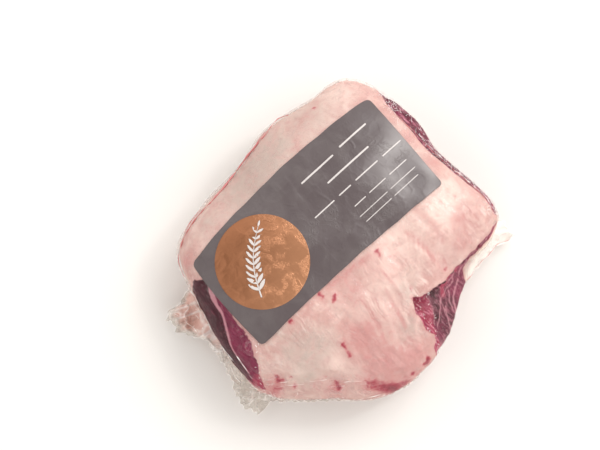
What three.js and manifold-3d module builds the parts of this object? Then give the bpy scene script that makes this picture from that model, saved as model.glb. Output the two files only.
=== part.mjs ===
// A boned leg of lamb in a vacuum bag, lying with its fat side up, with a long label on top.
// Millimetres, +Z up. The origin is the middle of the flat foot that the pack rests on.
// +X runs along the label, +Y across it towards its upper edge.
import * as THREE from "three";
import { mergeVertices } from "three/addons/utils/BufferGeometryUtils.js";
import Module from "manifold-3d";

const wasm = await Module();
wasm.setup();

const { smoothstep, degToRad, lerp } = THREE.MathUtils;

// The body of meat: a rounded log with flattened sides, widest at the belly.
const packHeight = 72;
const bellyHeight = 27;
const footSink = 4; // how much of the rounded underside is pressed flat
const footAngle = -52; // where the skin ends under the foot, in degrees below the belly
const endSquareness = 3.3; // of the profile towards the two cut ends
const flankSquareness = 2.5; // of the profile towards the two fat flanks
const bodyCells = 62;

// How far the outline reaches from the middle, every 15 degrees from +X.
const outlineReach = [
  94.5, 99, 105.5, 113.5, 100.5, 95, // cut end under the label's far edge, and its upper corner
  88.7, 87.6, 94.3, 104, 100, 97.5, // upper flank
  100, 103, 98, 93.5, 94.5, 94.5, // cut end with the dark muscle
  89.5, 87.5, 83.5, 89, 101.5, 97.5, // lower flank and the side with the open cleft
];

// Swellings of the fat: place, radius and height.
const swellings = [
  { x: 70, y: -34, radius: 26, height: 4.5 },
  { x: -22, y: -56, radius: 34, height: 3 },
  { x: 10, y: 22, radius: 60, height: 1.5 },
  { x: -60, y: -30, radius: 26, height: 1.5 },
];

// Folds pressed into the fat: a start, an end, a depth and a half width.
const folds = [
  { from: [15, -56], to: [26, -14], depth: 3.2, width: 6 },
  { from: [44, -54], to: [40, -20], depth: 2.4, width: 5 },
  { from: [-86, -36], to: [-30, -72], depth: 1.6, width: 8 },
];

// The cleft: lean meat set back under the lip of the fat.
const cleft = {
  lipY: -56.5,
  lipWave: 1.6,
  tip: [12.5, -54],
  foot: [1, -88],
  farX: 77,
  depth: 15,
  floorDepth: 3.5,
  edge: 12,
  way: new THREE.Vector3(0, 0.35, -0.94), // down, and a little in under the lip
};

// The two cut ends, a little hollow below the edge of the fat.
const hollows = [
  { side: 1, fatEdge: 84, lowY: -42, highY: 62, depth: 3.2 },
  { side: -1, fatEdge: -80, lowY: -30, highY: 48, depth: 3 },
];

// Loose film: a ring of sheet hidden inside the belly, drawn out where there is a flap.
const skirt = {
  height: 19,
  droop: 0.35, // for each millimetre drawn out
  hidden: 8, // how deep its rim lies in the meat between the flaps
  thickness: 1.4,
  columns: 120,
  rings: 4,
  inside: 0.86,
};
const flaps = [
  { bearing: 155.5, reach: 19, spread: 6.5, bluntness: 2 },
  { bearing: 164, reach: 8, spread: 9, bluntness: 2 },
  { bearing: 179, reach: 4, spread: 9, bluntness: 2 },
  { bearing: 195, reach: 13.5, spread: 12, bluntness: 4 },
  { bearing: 323.5, reach: 20, spread: 4.5, bluntness: 1.6 },
  { bearing: 320, reach: 7, spread: 11, bluntness: 3 },
  { bearing: 47, reach: 3.5, spread: 7, bluntness: 2 },
  { bearing: 112, reach: 2.5, spread: 26, bluntness: 4 },
  { bearing: 245, reach: 2, spread: 30, bluntness: 4 },
  { bearing: 20, reach: 2, spread: 26, bluntness: 4 },
];

// The label: where it lies in plan, and how far its two long edges bow towards +Y.
const label = {
  lowX: -78.5,
  highX: 77,
  lowY: -10.5,
  highY: 58.5,
  lowBow: 2,
  highBow: 5,
  lean: 4.5,
  corner: 3,
  gap: 0.5,
  thickness: 0.45,
  cellsAlong: 30,
  cellsAcross: 14,
};

const sum = (list, term) => list.reduce((total, item) => total + term(item), 0);

// How far the outline reaches in a direction: a smooth curve through the listed reaches.
function outlineRadius(angle) {
  const count = outlineReach.length;
  const place = THREE.MathUtils.euclideanModulo((angle / (2 * Math.PI)) * count, count);
  const at = Math.floor(place);
  const share = place - at;
  const [a, b, c, d] = [-1, 0, 1, 2].map((k) => outlineReach[(at + k + count) % count]);
  const curve = 2 * a - 5 * b + 4 * c - d + share * (3 * (b - c) + d - a);
  return b + 0.5 * share * (c - a + share * curve);
}

// Slow lumps of a hand-cut joint.
function lumps(x, y, z) {
  return (
    0.6 * Math.sin(x / 13 + 0.6 * Math.sin(y / 17)) * Math.cos(y / 15 + 1) +
    0.5 * Math.sin(x / 8.5 + y / 10 + z / 9)
  );
}

// Distance from a point to a stretch in plan, and how far along it lies.
function toStretch(x, y, from, to) {
  const [dx, dy] = [to[0] - from[0], to[1] - from[1]];
  const along = ((x - from[0]) * dx + (y - from[1]) * dy) / (dx * dx + dy * dy);
  const held = Math.min(1, Math.max(0, along));
  return [Math.hypot(x - from[0] - held * dx, y - from[1] - held * dy), held];
}

function swell(x, y) {
  return sum(swellings, (s) => {
    const far = ((x - s.x) ** 2 + (y - s.y) ** 2) / s.radius ** 2;
    return s.height * Math.exp(-far);
  });
}

function foldDepth(x, y, z) {
  const onTop = smoothstep(z, bellyHeight, bellyHeight + 20);
  return onTop * sum(folds, ({ from, to, depth, width }) => {
    const [far, along] = toStretch(x, y, from, to);
    return depth * Math.exp(-((far / width) ** 2)) * (1 - 0.7 * along);
  });
}

// The cleft is deepest under the lip and dies away down the side.
function cleftDepth(x, y, z) {
  const { lipY, lipWave, tip, foot, farX, depth, floorDepth, edge } = cleft;
  const lip = lipY + lipWave * Math.sin(x / 6);
  const share = (tip[1] - y) / (tip[1] - foot[1]);
  const nearX = lerp(tip[0], foot[0], share);
  const inside =
    smoothstep(lip - y, 0, edge) *
    smoothstep(x - nearX, 0, edge) *
    smoothstep(farX - x, 0, 26);
  const high = smoothstep(z, bellyHeight, bellyHeight + 26);
  const low = smoothstep(z, 2, bellyHeight);
  return inside * low * lerp(floorDepth, depth, high);
}

function hollowDepth(x, y, z) {
  return sum(hollows, ({ side, fatEdge, lowY, highY, depth }) => {
    const past = smoothstep(side * (x - fatEdge), 0, 7);
    const across = smoothstep(y, lowY, lowY + 14) * smoothstep(highY - y, 0, 14);
    const down = smoothstep(z, 6, bellyHeight);
    return depth * past * across * down;
  });
}

// A point of the body's skin. u and v run from -1 to 1 over the skin laid flat, 0 at its top.
function skinPoint(u, v) {
  const flatX = u * Math.sqrt(1 - (v * v) / 2);
  const flatY = v * Math.sqrt(1 - (u * u) / 2);
  const out = Math.hypot(flatX, flatY);
  const angle = Math.atan2(flatY, flatX);
  const tilt = degToRad(lerp(90, footAngle, out));
  const across = Math.cos(tilt);
  const up = Math.sin(tilt);
  const endwise = Math.cos(angle) ** 2;
  const squareness = lerp(flankSquareness, endSquareness, endwise);
  const push =
    (Math.abs(across) ** squareness + Math.abs(up) ** squareness) **
    (-1 / squareness);
  const radius = outlineRadius(angle) * across * push;
  const rise = up > 0 ? packHeight - bellyHeight : bellyHeight + footSink;
  const x = radius * Math.cos(angle);
  const y = radius * Math.sin(angle);
  const z = bellyHeight + rise * up * push;

  const above = smoothstep(z, 4, bellyHeight);
  const relief =
    above * (swell(x, y) + lumps(x, y, z)) -
    foldDepth(x, y, z) -
    hollowDepth(x, y, z);
  const skin = new THREE.Vector3(x, y, z);
  const outward = new THREE.Vector3(x, y, z - bellyHeight).normalize();
  skin.addScaledVector(outward, relief).addScaledVector(cleft.way, cleftDepth(x, y, z));
  skin.z = Math.max(0, skin.z);
  return skin;
}

// A closed geometry from shared points and the three corners of each face.
function geometryOf(points, faces) {
  const geometry = new THREE.BufferGeometry().setFromPoints(points);
  geometry.setIndex(faces);
  return geometry;
}

// Two triangles for a cell, its corners given anticlockwise from outside.
function cell(faces, a, b, c, d) {
  faces.push(a, b, c, a, c, d);
}

function bodyGeometry() {
  const points = [];
  const faces = [];
  const row = bodyCells + 1;
  for (let j = 0; j < row; j++) {
    for (let i = 0; i < row; i++) {
      points.push(skinPoint((2 * i) / bodyCells - 1, (2 * j) / bodyCells - 1));
    }
  }
  for (let j = 0; j < bodyCells; j++) {
    for (let i = 0; i < bodyCells; i++) {
      const at = j * row + i;
      cell(faces, at, at + 1, at + row + 1, at + row);
    }
  }
  const rim = [];
  for (let i = 0; i < bodyCells; i++) rim.push(i);
  for (let j = 0; j < bodyCells; j++) rim.push(j * row + bodyCells);
  for (let i = bodyCells; i > 0; i--) rim.push(bodyCells * row + i);
  for (let j = bodyCells; j > 0; j--) rim.push(j * row);
  const middle = points.push(new THREE.Vector3(0, 0, 0)) - 1;
  rim.forEach((at, i) => faces.push(at, middle, rim[(i + 1) % rim.length]));
  return geometryOf(points, faces);
}

// How far the loose film is drawn out of its hiding place in a direction.
function drawnOut(angle) {
  const crinkle = 1 + 0.09 * Math.sin(23 * angle) + 0.06 * Math.sin(41 * angle + 1);
  const tallest = Math.max(
    ...flaps.map(({ bearing, reach, spread, bluntness }) => {
      const turn = angle - degToRad(bearing);
      const off = Math.atan2(Math.sin(turn), Math.cos(turn)) / degToRad(spread);
      return (reach + skirt.hidden) * Math.exp(-(Math.abs(off) ** bluntness));
    }),
  );
  return tallest * crinkle;
}

// A closed ring of thin film that starts inside the meat.
function skirtGeometry() {
  const { height, droop, hidden, thickness, columns, rings, inside } = skirt;
  const points = [];
  const faces = [];
  for (let i = 0; i < columns; i++) {
    const angle = (2 * Math.PI * i) / columns;
    const body = outlineRadius(angle);
    const drawn = drawnOut(angle);
    for (let k = 0; k < rings; k++) {
      const share = k / (rings - 1);
      const radius = lerp(body * inside, body - hidden + drawn, share);
      const ripple = Math.sin(17 * angle + 2 * share) + 0.7 * Math.sin(29 * angle - share);
      const middle = height + share * drawn * (0.05 * ripple - droop);
      const half = (thickness / 2) * (1 - 0.3 * share);
      for (const side of [-1, 1]) {
        const z = middle + side * half;
        points.push(new THREE.Vector3(radius * Math.cos(angle), radius * Math.sin(angle), z));
      }
    }
  }
  const at = (i, k, side) => ((i % columns) * rings + k) * 2 + side;
  for (let i = 0; i < columns; i++) {
    for (let k = 0; k < rings - 1; k++) {
      cell(faces, at(i, k, 1), at(i, k + 1, 1), at(i + 1, k + 1, 1), at(i + 1, k, 1));
      cell(faces, at(i, k, 0), at(i + 1, k, 0), at(i + 1, k + 1, 0), at(i, k + 1, 0));
    }
    const last = rings - 1;
    cell(faces, at(i, last, 0), at(i + 1, last, 0), at(i + 1, last, 1), at(i, last, 1));
    cell(faces, at(i, 0, 0), at(i, 0, 1), at(i + 1, 0, 1), at(i + 1, 0, 0));
  }
  return geometryOf(points, faces);
}

function solidOf(geometry) {
  const merged = mergeVertices(geometry, 1e-4);
  return new wasm.Manifold(
    new wasm.Mesh({
      numProp: 3,
      vertProperties: new Float32Array(merged.attributes.position.array),
      triVerts: new Uint32Array(merged.index.array),
    }),
  );
}

function geometryFrom(solid) {
  const { vertProperties, triVerts } = solid.getMesh();
  const geometry = new THREE.BufferGeometry();
  geometry.setAttribute("position", new THREE.BufferAttribute(vertProperties, 3));
  geometry.setIndex(new THREE.BufferAttribute(triVerts, 1));
  geometry.computeVertexNormals();
  return geometry;
}

// The label lies on the pack, so its height is found by dropping rays on the body.
function labelGeometry(bodyMesh) {
  const { lowX, highX, lowY, highY, lowBow, highBow, lean } = label;
  const { corner, gap, thickness, cellsAlong, cellsAcross } = label;
  const ray = new THREE.Raycaster();
  const down = new THREE.Vector3(0, 0, -1);
  const points = [];
  const faces = [];
  const row = cellsAlong + 1;
  for (let j = 0; j <= cellsAcross; j++) {
    for (let i = 0; i <= cellsAlong; i++) {
      const along = i / cellsAlong;
      const across = j / cellsAcross;
      const atCorner = along % 1 === 0 && across % 1 === 0;
      const cut = atCorner ? corner * 0.35 : 0;
      const bulge = 1 - (2 * along - 1) ** 2;
      const x =
        lerp(lowX + lean * across ** 3, highX, along) + (along < 0.5 ? cut : -cut);
      const edgeY = lerp(lowY + lowBow * bulge, highY + highBow * bulge, across);
      const y = edgeY + (across < 0.5 ? cut : -cut);
      ray.set(new THREE.Vector3(x, y, 2 * packHeight), down);
      const [hit] = ray.intersectObject(bodyMesh);
      for (const lift of [gap, gap + thickness]) {
        points.push(new THREE.Vector3(x, y, hit.point.z + lift));
      }
    }
  }
  const at = (i, j, side) => (j * row + i) * 2 + side;
  for (let j = 0; j < cellsAcross; j++) {
    for (let i = 0; i < cellsAlong; i++) {
      cell(faces, at(i, j, 1), at(i + 1, j, 1), at(i + 1, j + 1, 1), at(i, j + 1, 1));
      cell(faces, at(i, j, 0), at(i, j + 1, 0), at(i + 1, j + 1, 0), at(i + 1, j, 0));
    }
  }
  const edge = (a, b, c, d) => cell(faces, at(a, b, 0), at(c, d, 0), at(c, d, 1), at(a, b, 1));
  for (let i = 0; i < cellsAlong; i++) {
    edge(i, 0, i + 1, 0);
    edge(i + 1, cellsAcross, i, cellsAcross);
  }
  for (let j = 0; j < cellsAcross; j++) {
    edge(cellsAlong, j, cellsAlong, j + 1);
    edge(0, j + 1, 0, j);
  }
  return geometryOf(points, faces);
}

const body = bodyGeometry();
const pack = new THREE.Mesh(
  geometryFrom(solidOf(body).add(solidOf(skirtGeometry()))),
  new THREE.MeshStandardMaterial({ color: 0xe6c2b6, roughness: 0.35, metalness: 0 }),
);
pack.name = "lamb_pack";

const paper = new THREE.Mesh(
  labelGeometry(new THREE.Mesh(body, new THREE.MeshBasicMaterial())),
  new THREE.MeshStandardMaterial({ color: 0x6e6665, roughness: 0.6, metalness: 0 }),
);
paper.name = "label";

const lamb = new THREE.Group();
lamb.add(pack, paper);

export default lamb;
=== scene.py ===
"""A boned leg of lamb in a tight clear vacuum bag, fat side up, with a long label across the top.

Sizes are in millimetres and in the model's own frame: +X along the label, +Z up, the foot's
middle at the origin. They become metres when a mesh is made.
"""

import math

import bmesh
import bpy
import numpy as np
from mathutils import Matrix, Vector
from mathutils.bvhtree import BVHTree


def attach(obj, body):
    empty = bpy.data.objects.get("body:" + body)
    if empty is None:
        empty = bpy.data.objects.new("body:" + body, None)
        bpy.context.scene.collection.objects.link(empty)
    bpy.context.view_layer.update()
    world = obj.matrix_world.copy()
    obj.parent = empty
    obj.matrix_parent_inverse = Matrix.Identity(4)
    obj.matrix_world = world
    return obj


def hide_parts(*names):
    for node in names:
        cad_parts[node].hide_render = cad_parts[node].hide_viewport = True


MM = 0.001

# The body of meat, as in the solid
PACK_HEIGHT = 72.0
BELLY = 27.0
FOOT_SINK = 4.0
FOOT_ANGLE = -52.0
END_SQUARENESS = 3.3
FLANK_SQUARENESS = 2.5
OUTLINE_REACH = [  # every 15 degrees from +X
    94.5, 99, 105.5, 113.5, 100.5, 95, 88.7, 87.6, 94.3, 104, 100, 97.5,
    100, 103, 98, 93.5, 94.5, 94.5, 89.5, 87.5, 83.5, 89, 101.5, 97.5,
]
SWELLINGS = [  # x, y, radius, height
    (70, -34, 26, 4.5), (-22, -56, 34, 3.0), (10, 22, 60, 1.5), (-60, -30, 26, 1.5),
]
FOLDS = [  # start, end, depth, half width
    ((15, -56), (26, -14), 3.2, 6.0), ((44, -54), (40, -20), 2.4, 5.0),
    ((-86, -36), (-30, -72), 1.6, 8.0),
]
HOLLOW = (-80.0, -30.0, 48.0, 0.6)  # at the low end: edge of the fat, lowest y, highest y, depth
CLEFT_DEPTH = 15.0
CLEFT_FLOOR = 3.5
CLEFT_WAY = np.array([0, 0.35, -0.94])
CLEFT_FAR = 77.0
CLEFT_LIP = [  # x, y along the ragged edge of the fat above the cleft
    (11.6, -51.8), (14.6, -55.8), (18.0, -58.0), (21.6, -57.8), (25.3, -56.5), (29, -57.2),
    (32.7, -57.7), (40.1, -58.3), (43, -57.4), (47.5, -56.4), (53, -55.3), (58, -54.8),
    (63.4, -54.4), (72.9, -53.4), (78, -52.9), (88, -52.2),
]
CLEFT_NEAR = [  # y, x down the cleft's near side
    (-100, -1.5), (-87.9, 1.0), (-84.4, 2.2), (-81.9, 6.4), (-78.5, 7.6), (-74, 5.4),
    (-69.4, 5.8), (-63.9, 7.8), (-60.9, 6.6), (-55, 10.8), (-51.8, 11.6),
]
CLEFT_OUTER = [  # x, y where the muscle ends and the stretched web of film begins
    (46, -71), (48.8, -67.4), (51.9, -65), (58, -61.4), (64, -59), (69, -57.6), (76.5, -55.6),
]

# Where the muscle shows at the two cut ends: y, z
LOW_END = [
    (48, 45), (49.5, 52), (46, 58), (42, 60.5), (34, 61.8), (23, 62), (15, 62.6), (8, 63.6), (0, 63.8),
    (-8, 62.8), (-15, 60.6), (-20, 58.2), (-24.4, 55), (-32, 46), (-30, 42), (-23, 38),
    (-15, 28), (-9, 21), (0, 18), (28, 18), (38, 23), (44.5, 34),
]
HIGH_EDGE = [  # y, x where the fat ends and the muscle of the high end begins
    (-48, 86), (-45, 86), (-38, 86.4), (-31, 86.8), (-25, 87), (-14, 87.6), (-5.6, 87.4),
    (4, 86.8), (12.7, 85.6), (17, 84.8), (28, 84.2), (38, 83.8), (49, 84.4), (61, 88.0), (64, 90),
]
SILVER_SKIN = [  # y, z
    (39, 59), (34, 58), (28, 57.7), (22.5, 58.4), (17.5, 57.9), (11.7, 57.2), (8, 56.2),
    (-3, 53), (-10.4, 50.2), (-17.4, 48.8),
]
OUTER_SKIN = [(46, 44), (40, 34), (32, 27), (10, 24), (0, 30), (-8, 35), (-16, 42), (-24, 46)]
CLEFT_MEMBRANES = [  # x, y
    [(45, -63.7), (40.3, -67.4), (35.5, -68.1), (30.3, -68.9), (27.1, -70.2), (23.5, -73.7),
     (19, -78.3), (14.1, -82.4)],
    [(26, -71.5), (25.9, -74.2), (24.3, -78.7)],
    [(20.7, -63.8), (19, -69.8), (16.5, -76), (13.2, -80.8)],
    [(45, -64.6), (38.1, -65.3)], [(50.5, -62.6), (56, -60.4), (63, -58.6)],
    [(47, -66), (51, -64), (57, -62), (64, -60)],
    [(45, -68), (39, -71), (34, -74.5), (30.5, -80), (28, -88)],
    [(47, -72), (42, -74.5), (37.5, -80), (34, -89)], [(35, -70), (31, -74), (29, -79.5)],
    [(27, -76), (23.5, -81), (19.5, -86), (13, -91)], [(31, -79), (27, -84.5), (23, -90), (17, -95)],
]
CLEFT_PATCH_EDGE = [(-90, 7.5), (-80.8, 13.2), (-76, 16.5), (-69.8, 19), (-63.8, 20.7), (-56, 25)]
CLEFT_DARKS = [(32.9, -58.8, 5, 0.8), (26, -64, 4.5, 0.9), (21.6, -71.5, 3.5, 0.9),
               (17.5, -77.5, 3, 0.8), (30, -76, 5, 0.5), (38, -60, 4, 0.5),
               (24, -85, 6, 0.5), (14, -89, 5, 0.5)]
CLEFT_RED_LINE = [(44.5, -60), (38.8, -63.2), (32.3, -65.6), (29.3, -68.7)]
CRACK_RED_LINE = [(47, -63), (51.4, -60.4), (56.5, -58.6), (62, -57), (70, -55.6)]

# Marks on the fat: x, y, radius, strength
BLOOD_SPOTS = [
    (-29.3, -10.6, 1.5, 1.1), (-29.0, -13.4, 1.4, 0.8), (-24.8, -19.3, 1.4, 1.0),
    (-22.9, -17.6, 1.4, 1.0), (-52.7, -10.7, 1.8, 1.2), (-38.8, -43.0, 1.5, 1.1),
    (-39.6, -46.6, 1.6, 0.6), (-40.2, -50.8, 1.7, 0.75), (-84.0, -31.0, 1.5, 1.2),
    (-83.0, -34.6, 1.4, 0.9), (-86.0, -33.5, 1.3, 0.9), (-80.3, -42.9, 1.8, 0.7),
    (-59.0, -59.0, 1.5, 0.8), (-59.9, -62.8, 1.5, 0.9), (14.5, -15.2, 1.8, 0.85),
    (-39.2, -44.8, 1.0, 0.6), (-39.9, -48.8, 1.2, 0.6),
    (13.8, -18.4, 1.5, 0.6), (-5.8, -86.5, 1.8, 1.1), (-9.0, -87.0, 1.6, 0.9),
    (-19.0, -86.4, 1.6, 0.9), (40.4, -53.0, 1.2, 0.9), (16.2, -49.8, 1.2, 0.7),
    (-61.5, -52.0, 1.1, 0.6), (-77.0, -36.5, 1.2, 0.7), (-46.0, -63.0, 1.2, 0.5),
    (49.5, 79.5, 1.3, 0.7),
]
BLOOD_PATCHES = [
    (-43, -72, 4.5, 0.62), (-40, -78, 5, 0.6), (-36, -83, 5, 0.7), (-33, -87, 5, 0.85),
    (-26, -89, 4, 0.55), (-16, -90, 4, 0.4), (-6, -90, 4, 0.35), (-90, -36, 5, 0.6),
    (-70, -52, 4, 0.3), (-61, -61, 4, 0.4),
]
BLUSHES = [
    (-30, -44, 11, 0.6), (-27, -47, 5, 0.5), (-29, -62, 12, 0.6), (-24, -76, 13, 1.1),
    (-7, -80, 12, 0.6), (-45, -72, 9, 0.4), (63, -34, 6, 0.6), (76, -37, 8, 0.1),
    (86, -24, 8, 0.35), (-22, -77, 7, 0.4), (-65, -60, 9, 0.35), (80, 3, 6, 0.6),
    (80, 24, 6, 0.5), (40, -50, 7, 0.5), (-10, -50, 14, 0.3),
    (-8, -15, 8, 0.4), (4, -20, 9, 0.3), (-76, 62, 7, 0.6), (10, -70, 8, 0.4), (20, -28, 8, 0.3),
    (-92, -34, 8, 1.0), (-15.6, -26, 7, 0.5), (-60, -62, 7, 0.5), (56, -46, 7, 0.5),
]
PINK_STREAKS = [  # half width, strength, x and y along it
    (1.6, 0.9, [(36.6, -19.9), (37.5, -24.9), (38.3, -32.3), (37.8, -38.5), (37.3, -42.9)]),
    (1.3, 0.6, [(2.8, -36.8), (-0.4, -49), (-3.5, -60.7)]),
    (1.4, 0.5, [(-19, -42), (-21, -51), (-23.4, -59.3)]),
    (2.2, 0.5, [(-22, -11), (-12, -12.4), (-2, -13), (8, -13.6)]),
    (1.2, 0.5, [(-12, -34), (-14, -46), (-19, -58)]), (1.0, 0.5, [(8, -24), (9, -36), (7, -47)]),
    (1.5, 0.5, [(50, -14), (51.5, -26), (49, -38)]), (1.2, 0.4, [(62, -50), (64, -42), (68, -34)]),
]
PALE_STREAKS = [
    (1.2, 0.8, [(34.4, -20), (35, -26), (35.8, -34), (35, -42)]),
    (1.1, 0.7, [(5, -36), (2.4, -48), (-0.6, -60)]), (1.0, 0.6, [(-4, -38), (-8, -50), (-12, -62)]),
    (1.2, 0.6, [(16, -20), (19, -32), (17, -44)]), (1.0, 0.5, [(26, -30), (27, -40), (24, -50)]),
    (1.6, 0.6, [(10, -60), (2, -66), (-4, -76)]), (1.3, 0.5, [(-32, -40), (-36, -52), (-38, -64)]),
]
# Cream patches of fat; right of the label and at the top corner, partly a painted highlight where the
# fat faces the light.
CREAM_AND_LIT_SPOTS = [
    (14, -27, 11, 0.9), (60, -20, 12, 0.9), (78, -20, 8, 0.5), (72, 74, 14, 0.15),
    (28, -20, 8, 0.5), (-50, -48, 7, 0.4), (56, -32, 6, 0.6), (-70, -38, 6, 0.4),
]
# Greyish fat, partly painted shade on the sides of the pack that face away from the light.
GREYISH_AND_SHADED = [
    (-61, -26, 14, 0.7), (-48, -36, 12, 0.4), (12, 76, 16, 0.7), (-8, 72, 14, 0.9),
    (-26, 70, 14, 0.7), (40, 78, 14, 0.4), (-72, -46, 10, 0.4), (-2, -60, 7, 0.9), (12, -46, 6, 0.7),
    (-50, 70, 8, 0.4), (0, -70, 6, 0.5), (-66, -40, 6, 0.5),
]
END_SIDE = 60.0  # past this in x, either way, the skin belongs to a cut end
SKIN_SUNK = 0.6  # room kept under the solid's skin for texture and film
FLANK_LINE = 44.0  # height below which the film stands off the upper flank

# Points that the film is drawn to: place, number of creases, reach, height
PULLS = [
    ((12, -55), 15, 24, 0.6), ((88, -52), 13, 24, 0.9), ((-92, -34), 13, 24, 0.9),
    ((-84, 56), 11, 18, 0.8), ((76, 82), 11, 18, 0.6), ((-60, -70), 11, 18, 0.7),
]

# Pleats of the film, seen from above: thickness, then x, y along it
CREASE_LOWEST = 16.0
# These pleats are pure white, a painted highlight on the creases of the film.
HIGHLIT_CREASES = [
    (0.4, [(-85, 48), (-88.5, 42), (-91.2, 33.6), (-93.4, 25.8), (-94.7, 19), (-96.4, 11.7),
           (-96.5, 5), (-97.7, -2.8), (-96.8, -9.3)]),
    (0.35, [(-92.7, -2.5), (-93.9, -9.9), (-94.8, -14.9), (-96.5, -21.9)]),
    (0.35, [(-99.7, 6), (-101.3, -4.4), (-104.6, -10.1), (-104.2, -19.3), (-98.8, -22.9),
            (-96.2, -28.8)]),
    (0.4, [(-108.8, -17), (-110.6, -23.2), (-110.7, -30.8), (-110, -34)]),
    (0.3, [(-81.1, 65.8), (-83.3, 61.8), (-83.9, 58.4), (-84.6, 56.1), (-85.8, 50.3)]),
    (0.35, [(-106.8, 48.9), (-105.5, 43.8), (-104.2, 37.6), (-103.4, 31), (-103.1, 23.8)]),
    (0.3, [(-97.8, 41.5), (-96.9, 33.8), (-96.6, 26.7)]),
    (0.14, [(-94.4, -28.4), (-88.5, -31.8), (-81.9, -36.3), (-78.2, -37.4)]),
    (0.1, [(-73.9, -41.5), (-68.8, -47.8), (-60.5, -53.6)]),
    (0.1, [(-55.9, -60.6), (-50.4, -64.2), (-42.3, -71.8)]),
    (0.14, [(-91.9, -33.2), (-86.6, -36.4), (-83.2, -37.7), (-76.2, -44), (-72.5, -45.6)]),
    (0.1, [(-66.5, -54.6), (-58.6, -61.9), (-54.4, -63.4)]),
    (0.25, [(-96.7, -33.7), (-91.4, -42.7), (-85.2, -52.1), (-78.4, -58.2), (-70.7, -64.5)]),
    (0.3, [(-68.4, -66.8), (-61.5, -70.7), (-56.7, -75.3), (-49.6, -79.2), (-41.7, -84.1)]),
    (0.2, [(-37.4, -87.6), (-30.2, -89.9), (-22.8, -92.6), (-14.5, -93.4)]),
    (0.3, [(96.7, -50.3), (90, -51), (84.3, -51.7)]),
    (0.25, [(85.6, 24), (87.3, 9), (88, -8), (89.8, -24), (90.6, -42)]),
]
JUICE_CREASES = [
    (0.5, [(-75, 71), (-69.1, 74.4), (-63.6, 76.5), (-53.9, 79.5), (-45.4, 79.5), (-37.6, 80)]),
    (0.75, [(-40, 79.6), (-28, 81.5), (-18.5, 83.7), (-4.5, 86.4), (6, 87.4), (12, 88)]),
    (0.4, [(10.1, 87.6), (17, 89), (26, 91), (34, 92.3), (45.2, 91.6)]),
    (0.3, [(-66.9, 77.1), (-59, 79.6), (-52, 81.4), (-44.9, 81.4)]),
    (0.3, [(1, 84.8), (8, 88.6), (14, 90.4), (18.3, 90.9)]),
    (0.3, [(-85, 52.6), (-84, 58.5), (-82, 64), (-76.5, 71)]), (0.4, [(-87.4, 55.7), (-86.7, 52.6)]),
    (0.2, [(47, -67.2), (55, -66.9), (63.1, -66.4), (72.9, -66), (82, -65), (86.9, -66.4),
           (91, -68.8)]),
    (0.2, [(83.1, -63.8), (86.3, -61.3), (92.7, -64.1)]), (0.2, [(78.3, -54.6), (83.1, -63.8)]),
    (0.22, [(84.6, 44), (84.2, 30), (85, 18), (86.2, 6), (87.2, -8), (88.8, -24), (89.5, -38)]),
]

# Loose film, as in the solid
SKIRT_HEIGHT = 19.0
SKIRT_DROOP = 0.35
SKIRT_HIDDEN = 8.0
SKIRT_INSIDE = 0.86
LOOSE_THICKNESS = 0.15
FLAPS = [  # bearing, reach past the widest line
    (12, -3), (17, 1.5), (24, 1.5), (30, -3), (42, -3), (45, 3.5), (49, 4), (53, -3), (90, -3),
    (98, 1.2), (126, 1.2), (134, -3), (149, -3), (151.5, 6), (153.5, 11), (154.5, 17.5),
    (155.7, 21), (158, 23.5), (161, 20.7), (164, 17.3), (166.2, 14.6), (167.4, 9.4), (169.8, 5.5),
    (172.4, 5), (175, 4.4), (178, 4), (181.6, 4.4), (184.8, 5.5), (187.2, 7), (189.9, 10.4),
    (192.2, 12.4), (195.3, 15), (198.3, 14.7), (200.1, 14.3), (201.2, 9), (202, 5), (204, 3.6),
    (207, 3), (212, 1.5), (262, 1.2), (270, -3), (303, -3), (306, 0.5), (309, 2), (312.4, 3),
    (317, 6.5), (320.4, 9), (321.8, 12), (322.7, 17), (324.2, 18.5), (326.1, 14), (328.5, 10),
    (331.4, 5), (334, -3),
]

# The label, as in the solid, and what is printed on it
LABEL = dict(low_x=-78.5, high_x=77.0, low_y=-10.5, high_y=58.5, low_bow=2.0, high_bow=5.0,
             lean=4.5, corner=3.0)
LABEL_CORNERS = [(1.5, 0.2), (-2.4, -1.8), (-0.9, -0.6), (1.3, 1.4)]  # shifts, low then high
LABEL_LIFT = 0.55
LABEL_THICKNESS = 0.3
FOIL_THICKNESS = 0.12
INK_THICKNESS = 0.06
STEM_THICKNESS = 0.05
FOIL_LIFT = 0.22  # height above the label of the foil and of the bars
STEM_LIFT = 0.36
LEAF_LIFT = 0.42
DISC = (-41.8, 28.2, 29.8)  # x, y, radius
SPRIG = dict(start=(-57, 12), end=(-29, 46), bend=4.0, pairs=11, leaf=8.0)
PRINT_BARS = [  # low x, high x, middle y, height
    (9, 36, 47.5, 1.15), (42, 65, 48.5, 1.15), (21, 56, 36.5, 1.15),
    (0.5, 17, 25.8, 0.85), (21, 31, 25.9, 0.85), (35, 54, 26.0, 0.85), (58, 74, 26.0, 0.85),
    (23.5, 33, 14.4, 0.65), (36, 50, 14.5, 0.65), (53, 68, 14.5, 0.65),
    (21.5, 45, 7.4, 0.5), (47.5, 69, 7.4, 0.5), (22.5, 44, 2.6, 0.5), (46.5, 67, 2.6, 0.5),
]

SKIN_CELLS = 300
RAY_START = 0.2  # metres, above the whole pack
DOWN = Vector((0, 0, -1))

# Camera and light, from the photograph's 600 x 450 frame
CAMERA_AZIMUTH = -42.6
CAMERA_ELEVATION = 85.0
MM_PER_PIXEL = 0.65
FRAME_WIDTH = 600
FOOT_PIXEL = (340.5, 254.2)
FRAME_MIDDLE = (300.0, 225.0)
LENS = 90.0
SENSOR = 36.0


# Numbers

def smoothstep(value, low, high):
    share = np.clip((value - low) / (high - low), 0, 1)
    return share * share * (3 - 2 * share)


def lerp(a, b, share):
    return a + (b - a) * share


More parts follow.
